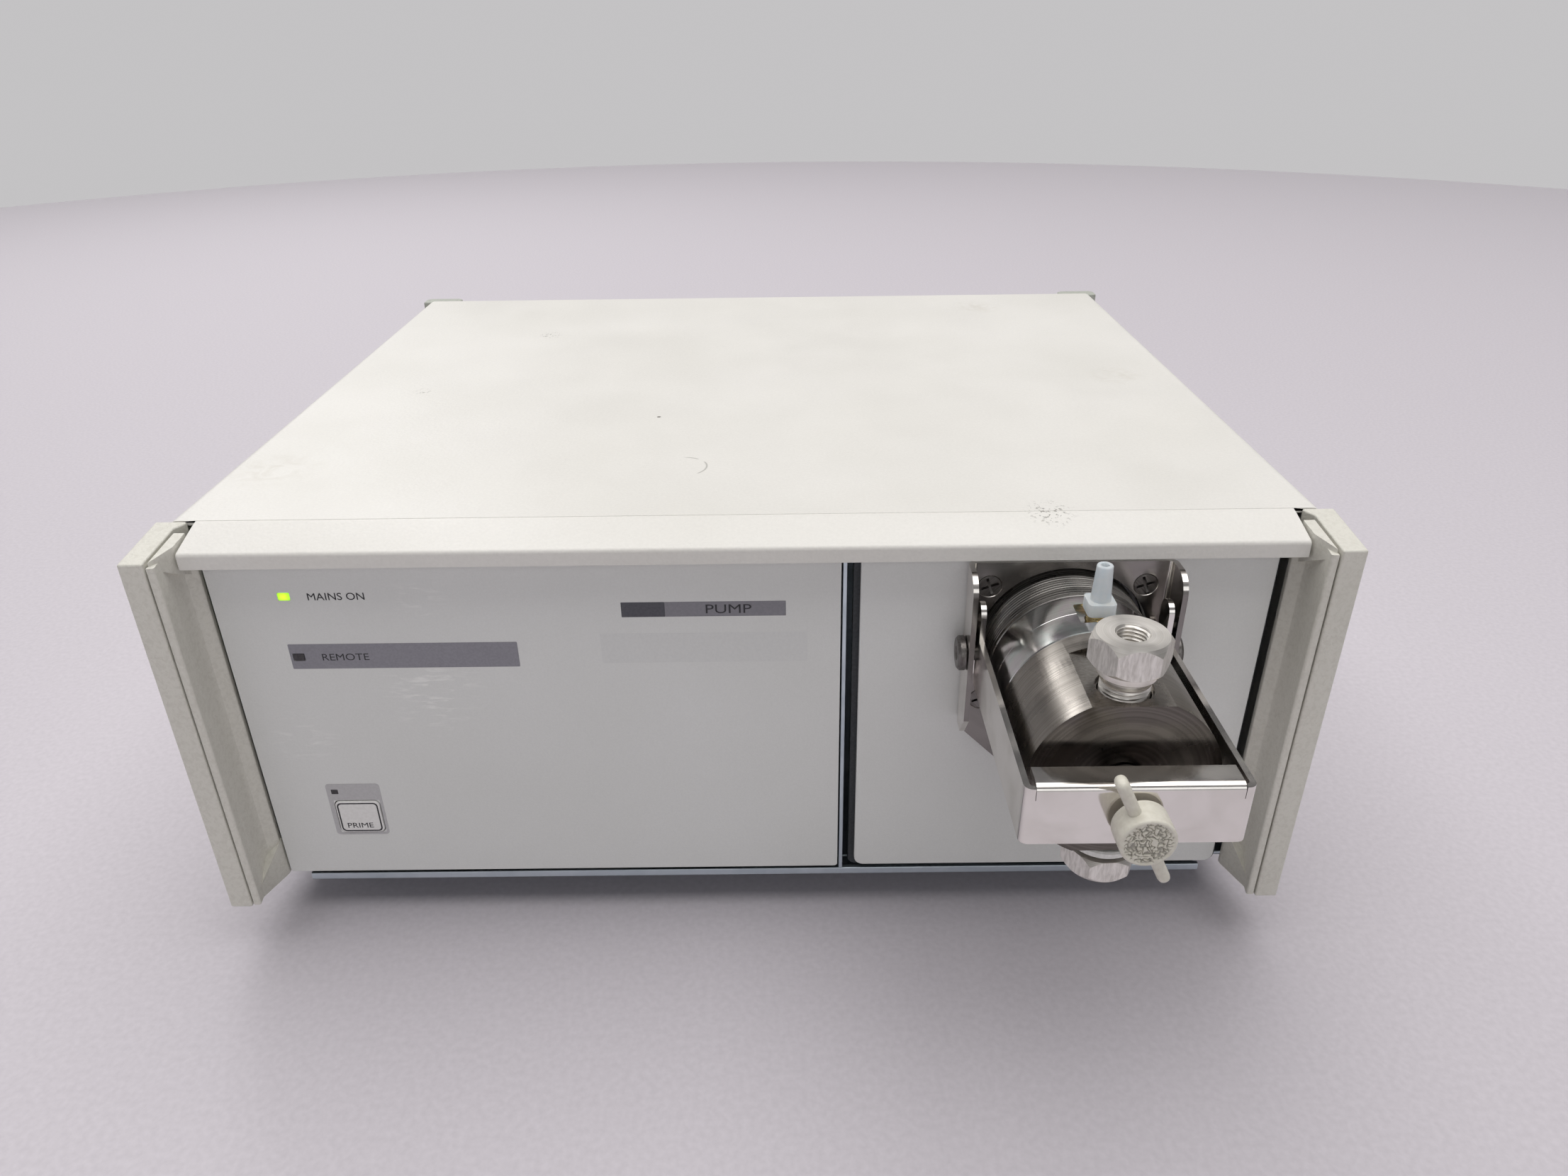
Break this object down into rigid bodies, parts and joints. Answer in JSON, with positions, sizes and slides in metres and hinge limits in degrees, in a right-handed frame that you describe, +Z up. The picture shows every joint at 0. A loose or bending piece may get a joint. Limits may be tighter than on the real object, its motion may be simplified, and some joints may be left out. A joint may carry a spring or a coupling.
{
  "type": "metering pump",
  "caption": "Bench-top single-piston metering pump: folded case between corner posts, plain front panels and a clamped metal pump head with screw-in check valves.",
  "frame": {"origin": "centre of the bottom of the bounding box, on the surface that the feet stand on", "axes": "+X to the right seen from the front, +Y from the front panel to the rear, +Z up"},
  "size_m": [0.33, 0.36, 0.141],
  "materials": {
    "paint_cover": "fine textured warm off-white powder coat",
    "paint_panel": "satin pale grey printed overlay on painted steel",
    "plastic_trim": "coarse textured warm grey",
    "plastic_corner": "matt grey-green",
    "zinc_plate": "clear passivated zinc on sheet steel",
    "plate_dark": "matt dark grey",
    "rubber_black": "matt",
    "key_white": "satin",
    "led_green": "lit lens",
    "led_dark": "unlit lens",
    "nickel_plate": "bright nickel plated steel",
    "stainless": "fine turned",
    "titanium": "fine turned, warm grey",
    "plastic_knob": "moulded, light grey",
    "plastic_milky": "translucent milky",
    "polymer_white": "smooth",
    "ruby": "polished synthetic ruby",
    "ceramic": "polished ceramic",
    "cast_aluminium": "as cast and machined",
    "circuit_board": "solder resist",
    "lamination": "varnished laminations",
    "plastic_black": "moulded"
  },
  "bodies": {
    "housing": {"top_cover": "paint_cover", "front_post_left": "plastic_trim", "front_post_right": "plastic_trim", "post_liner_left": "plastic_trim", "post_liner_right": "plastic_trim", "rear_post_left": "plastic_corner", "rear_post_right": "plastic_corner", "chassis_tray": "zinc_plate", "rear_panel": "zinc_plate", "divider_wall": "zinc_plate", "foot_front_left": "rubber_black", "foot_front_right": "rubber_black", "foot_rear_left": "rubber_black", "foot_rear_right": "rubber_black", "control_panel": "paint_panel", "pump_fascia": "paint_panel", "pump_backplate": "plate_dark", "mains_led": "led_green", "remote_led": "led_dark", "head_bracket": "nickel_plate", "bracket_screw_1": "stainless", "bracket_screw_2": "stainless", "bracket_screw_3": "stainless", "bracket_screw_4": "stainless", "pivot_pin_left": "stainless", "pivot_pin_right": "stainless", "head_rear_ring": "stainless", "rinse_ring": "stainless", "head_body": "titanium", "luer_fitting": "plastic_milky", "outlet_valve": "titanium", "inlet_valve": "titanium", "inlet_washer": "polymer_white", "piston_seal": "polymer_white", "drive_casting": "cast_aluminium", "cam_bearing_left": "stainless", "cam_bearing_right": "stainless", "return_spring": "stainless", "stepper_motor": "plastic_black", "timing_belt": "rubber_black", "main_board": "circuit_board", "transformer": "lamination", "mains_inlet": "plastic_black", "signal_connector": "zinc_plate"},
    "prime_key": {"prime_key": "key_white"},
    "yoke": {"clamp_yoke": "nickel_plate"},
    "pad": {"thrust_pad": "stainless"},
    "knob": {"clamp_knob": "plastic_knob", "clamp_screw": "stainless"},
    "outlet_ball": {"outlet_ball": "ruby"},
    "inlet_ball": {"inlet_ball": "ruby"},
    "camshaft": {"camshaft": "stainless", "cam_pulley": "cast_aluminium"},
    "crosshead": {"crosshead": "stainless", "piston": "ceramic"},
    "follower": {"follower_roller": "stainless"},
    "motor_rotor": {"motor_shaft": "stainless", "motor_pulley": "cast_aluminium"},
    "fuse_drawer": {"fuse_drawer": "plastic_black"},
    "rocker": {"power_rocker": "plastic_black"}
  },
  "joints": [
    {"name": "yoke_lift", "type": "slide", "parent": "housing", "child": "yoke", "axis": [0, 0, 1], "range_m": [0, 0.02]},
    {"name": "pad_advance", "type": "slide", "parent": "yoke", "child": "pad", "axis": [0, -1, 0], "range_m": [0, 0.00375]},
    {"name": "clamp_screw_turn", "type": "hinge", "parent": "pad", "child": "knob", "pos_m": [0.091, -0.1725, 0.1025], "axis": [0, -1, 0], "range_deg": [0, 1080]},
    {"name": "prime_key_press", "type": "slide", "parent": "housing", "child": "prime_key", "axis": [0, 1, 0], "range_m": [0, 0.0008], "stiffness_N_per_m": 1200},
    {"name": "outlet_ball_lift", "type": "slide", "parent": "housing", "child": "outlet_ball", "axis": [0, 0, 1], "range_m": [0, 0.0007]},
    {"name": "inlet_ball_lift", "type": "slide", "parent": "housing", "child": "inlet_ball", "axis": [0, 0, 1], "range_m": [0, 0.0007]},
    {"name": "cam_turn", "type": "hinge", "parent": "housing", "child": "camshaft", "pos_m": [0.091, 0.0018, 0.103], "axis": [1, 0, 0], "range_deg": [0, 270]},
    {"name": "crosshead_slide", "type": "slide", "parent": "housing", "child": "crosshead", "axis": [0, -1, 0], "range_m": [0, 0.014], "deforming": ["return_spring"]},
    {"name": "roller_spin", "type": "hinge", "parent": "crosshead", "child": "follower", "pos_m": [0.091, -0.0205, 0.103], "axis": [1, 0, 0], "continuous": true},
    {"name": "motor_turn", "type": "hinge", "parent": "housing", "child": "motor_rotor", "pos_m": [0.091, 0.0975, 0.103], "axis": [1, 0, 0], "range_deg": [0, 675]},
    {"name": "fuse_drawer_pull", "type": "slide", "parent": "housing", "child": "fuse_drawer", "axis": [0, 1, 0], "range_m": [0, 0.016]},
    {"name": "rocker_tilt", "type": "hinge", "parent": "housing", "child": "rocker", "pos_m": [-0.122, 0.1674, 0.091], "axis": [-1, 0, 0], "range_deg": [0, 18]}
  ],
  "couplings": [
    {"joint": "clamp_screw_turn", "follows": "pad_advance", "rad_per_m": 5026.5},
    {"joint": "cam_turn", "follows": "crosshead_slide", "rad_per_m": 336.6},
    {"joint": "motor_turn", "follows": "crosshead_slide", "rad_per_m": 841.5}
  ]
}
